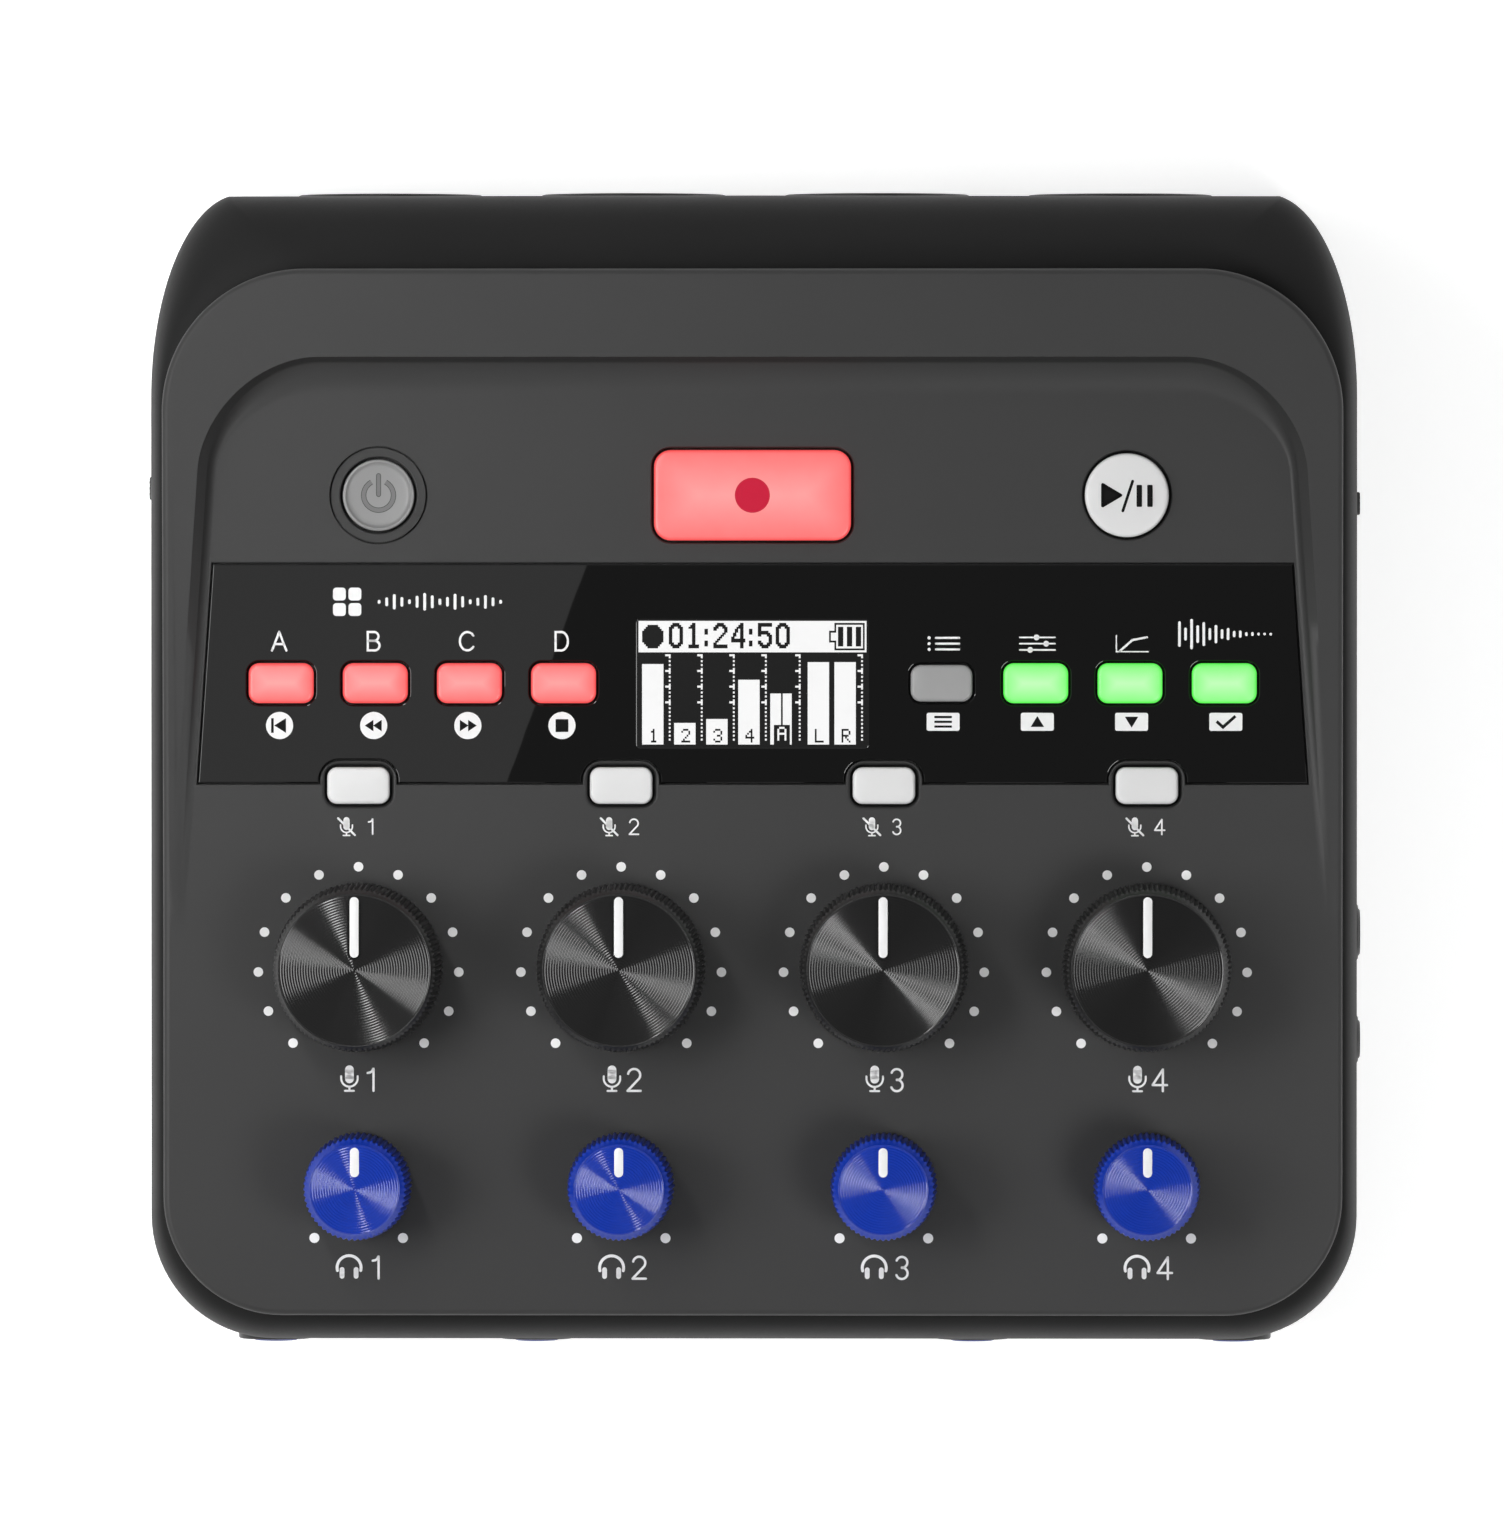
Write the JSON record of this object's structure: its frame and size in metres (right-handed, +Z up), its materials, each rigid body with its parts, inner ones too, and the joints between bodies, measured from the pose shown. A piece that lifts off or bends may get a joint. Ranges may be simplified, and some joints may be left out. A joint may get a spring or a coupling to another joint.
{
  "type": "podcast mixer",
  "caption": "Tabletop wedge-shaped podcast mixer with rotary level knobs, lit keys, a display window, rear microphone sockets and front headphone jacks.",
  "frame": {"origin": "middle of the plane of the feet, under the centre of the body's outline", "axes": "+X to the user's right, +Y to the rear where the microphone sockets are, +Z up"},
  "size_m": [0.1527, 0.1457, 0.0487],
  "materials": {
    "cover_grey": "fine moulded texture",
    "case_black": "fine moulded texture",
    "window_black": "smoked, smooth",
    "board_green": "solder-resist",
    "display_dark": "glass",
    "display_lit": "lit pixels",
    "knob_black": "concentric turned grooves",
    "knob_blue": "concentric turned grooves",
    "lamp_red": "translucent, lit from behind",
    "lamp_green": "translucent, lit from behind",
    "key_white": "satin",
    "key_grey": "satin",
    "socket_black": "moulded",
    "ring_blue": "satin",
    "print_white": "screen print",
    "print_red": "screen print",
    "print_dark": "screen print",
    "contact_gold": "plated",
    "steel": "plated",
    "rubber": "matt",
    "cell_grey": "wrapped sleeve"
  },
  "bodies": {
    "chassis": {"top_cover": "cover_grey", "lower_case": "case_black", "window_panel": "window_black", "main_board": "board_green", "display_module": "display_dark", "usb_port": "steel", "mic_socket_1": "socket_black", "mic_socket_2": "socket_black", "mic_socket_3": "socket_black", "mic_socket_4": "socket_black", "phones_jack_1": "socket_black", "phones_jack_2": "socket_black", "phones_jack_3": "socket_black", "phones_jack_4": "socket_black", "phone_call_jack": "socket_black", "line_jack": "socket_black", "card_slot": "socket_black", "foot_front_left": "rubber", "foot_front_right": "rubber", "foot_rear_left": "rubber", "foot_rear_right": "rubber", "battery_1": "cell_grey", "battery_2": "cell_grey"},
    "mic_dial_1": {"mic_knob_1": "knob_black", "mic_shaft_1": "steel"},
    "mic_dial_2": {"mic_knob_2": "knob_black", "mic_shaft_2": "steel"},
    "mic_dial_3": {"mic_knob_3": "knob_black", "mic_shaft_3": "steel"},
    "mic_dial_4": {"mic_knob_4": "knob_black", "mic_shaft_4": "steel"},
    "phones_dial_1": {"phones_knob_1": "knob_blue", "phones_shaft_1": "steel"},
    "phones_dial_2": {"phones_knob_2": "knob_blue", "phones_shaft_2": "steel"},
    "phones_dial_3": {"phones_knob_3": "knob_blue", "phones_shaft_3": "steel"},
    "phones_dial_4": {"phones_knob_4": "knob_blue", "phones_shaft_4": "steel"},
    "power_key": {"power_key": "key_grey"},
    "record_key": {"record_key": "lamp_red"},
    "play_key": {"play_key": "key_white"},
    "pad_key_a": {"pad_key_a": "lamp_red"},
    "pad_key_b": {"pad_key_b": "lamp_red"},
    "pad_key_c": {"pad_key_c": "lamp_red"},
    "pad_key_d": {"pad_key_d": "lamp_red"},
    "menu_key": {"menu_key": "key_grey"},
    "function_key_1": {"function_key_1": "lamp_green"},
    "function_key_2": {"function_key_2": "lamp_green"},
    "function_key_3": {"function_key_3": "lamp_green"},
    "mute_key_1": {"mute_key_1": "key_white"},
    "mute_key_2": {"mute_key_2": "key_white"},
    "mute_key_3": {"mute_key_3": "key_white"},
    "mute_key_4": {"mute_key_4": "key_white"},
    "slide_switch_left": {"slide_switch_left": "socket_black"},
    "slide_switch_right": {"slide_switch_right": "socket_black"},
    "battery_door": {"battery_door": "case_black"}
  },
  "joints": [
    {"name": "mic_dial_1_turn", "type": "hinge", "parent": "chassis", "child": "mic_dial_1", "pos_m": [-0.04929, -0.02605, 0.03449], "axis": [0, -0.061, 0.9981], "range_deg": [-140, 140]},
    {"name": "mic_dial_2_turn", "type": "hinge", "parent": "chassis", "child": "mic_dial_2", "pos_m": [-0.01643, -0.02605, 0.03449], "axis": [0, -0.061, 0.9981], "range_deg": [-140, 140]},
    {"name": "mic_dial_3_turn", "type": "hinge", "parent": "chassis", "child": "mic_dial_3", "pos_m": [0.01643, -0.02605, 0.03449], "axis": [0, -0.061, 0.9981], "range_deg": [-140, 140]},
    {"name": "mic_dial_4_turn", "type": "hinge", "parent": "chassis", "child": "mic_dial_4", "pos_m": [0.04929, -0.02605, 0.03449], "axis": [0, -0.061, 0.9981], "range_deg": [-140, 140]},
    {"name": "phones_dial_1_turn", "type": "hinge", "parent": "chassis", "child": "phones_dial_1", "pos_m": [-0.04929, -0.0533, 0.03282], "axis": [0, -0.061, 0.9981], "range_deg": [-140, 140]},
    {"name": "phones_dial_2_turn", "type": "hinge", "parent": "chassis", "child": "phones_dial_2", "pos_m": [-0.01643, -0.0533, 0.03282], "axis": [0, -0.061, 0.9981], "range_deg": [-140, 140]},
    {"name": "phones_dial_3_turn", "type": "hinge", "parent": "chassis", "child": "phones_dial_3", "pos_m": [0.01643, -0.0533, 0.03282], "axis": [0, -0.061, 0.9981], "range_deg": [-140, 140]},
    {"name": "phones_dial_4_turn", "type": "hinge", "parent": "chassis", "child": "phones_dial_4", "pos_m": [0.04929, -0.0533, 0.03282], "axis": [0, -0.061, 0.9981], "range_deg": [-140, 140]},
    {"name": "power_key_press", "type": "slide", "parent": "chassis", "child": "power_key", "axis": [0, 0.061, -0.9981], "range_m": [0, 0.0005], "stiffness_N_per_m": 300},
    {"name": "record_key_press", "type": "slide", "parent": "chassis", "child": "record_key", "axis": [0, 0.061, -0.9981], "range_m": [0, 0.0005], "stiffness_N_per_m": 300},
    {"name": "play_key_press", "type": "slide", "parent": "chassis", "child": "play_key", "axis": [0, 0.061, -0.9981], "range_m": [0, 0.0005], "stiffness_N_per_m": 300},
    {"name": "pad_key_a_press", "type": "slide", "parent": "chassis", "child": "pad_key_a", "axis": [0, 0.061, -0.9981], "range_m": [0, 0.0005], "stiffness_N_per_m": 300},
    {"name": "pad_key_b_press", "type": "slide", "parent": "chassis", "child": "pad_key_b", "axis": [0, 0.061, -0.9981], "range_m": [0, 0.0005], "stiffness_N_per_m": 300},
    {"name": "pad_key_c_press", "type": "slide", "parent": "chassis", "child": "pad_key_c", "axis": [0, 0.061, -0.9981], "range_m": [0, 0.0005], "stiffness_N_per_m": 300},
    {"name": "pad_key_d_press", "type": "slide", "parent": "chassis", "child": "pad_key_d", "axis": [0, 0.061, -0.9981], "range_m": [0, 0.0005], "stiffness_N_per_m": 300},
    {"name": "menu_key_press", "type": "slide", "parent": "chassis", "child": "menu_key", "axis": [0, 0.061, -0.9981], "range_m": [0, 0.0005], "stiffness_N_per_m": 300},
    {"name": "function_key_1_press", "type": "slide", "parent": "chassis", "child": "function_key_1", "axis": [0, 0.061, -0.9981], "range_m": [0, 0.0005], "stiffness_N_per_m": 300},
    {"name": "function_key_2_press", "type": "slide", "parent": "chassis", "child": "function_key_2", "axis": [0, 0.061, -0.9981], "range_m": [0, 0.0005], "stiffness_N_per_m": 300},
    {"name": "function_key_3_press", "type": "slide", "parent": "chassis", "child": "function_key_3", "axis": [0, 0.061, -0.9981], "range_m": [0, 0.0005], "stiffness_N_per_m": 300},
    {"name": "mute_key_1_press", "type": "slide", "parent": "chassis", "child": "mute_key_1", "axis": [0, 0.061, -0.9981], "range_m": [0, 0.0005], "stiffness_N_per_m": 300},
    {"name": "mute_key_2_press", "type": "slide", "parent": "chassis", "child": "mute_key_2", "axis": [0, 0.061, -0.9981], "range_m": [0, 0.0005], "stiffness_N_per_m": 300},
    {"name": "mute_key_3_press", "type": "slide", "parent": "chassis", "child": "mute_key_3", "axis": [0, 0.061, -0.9981], "range_m": [0, 0.0005], "stiffness_N_per_m": 300},
    {"name": "mute_key_4_press", "type": "slide", "parent": "chassis", "child": "mute_key_4", "axis": [0, 0.061, -0.9981], "range_m": [0, 0.0005], "stiffness_N_per_m": 300},
    {"name": "slide_switch_left_slide", "type": "slide", "parent": "chassis", "child": "slide_switch_left", "axis": [0, -0.9981, -0.061], "range_m": [0, 0.003]},
    {"name": "slide_switch_right_slide", "type": "slide", "parent": "chassis", "child": "slide_switch_right", "axis": [0, -0.9981, -0.061], "range_m": [0, 0.003]},
    {"name": "battery_door_swing", "type": "hinge", "parent": "chassis", "child": "battery_door", "pos_m": [0, 0.00755, 0.0015], "axis": [1, 0, 0], "range_deg": [0, 90]}
  ]
}
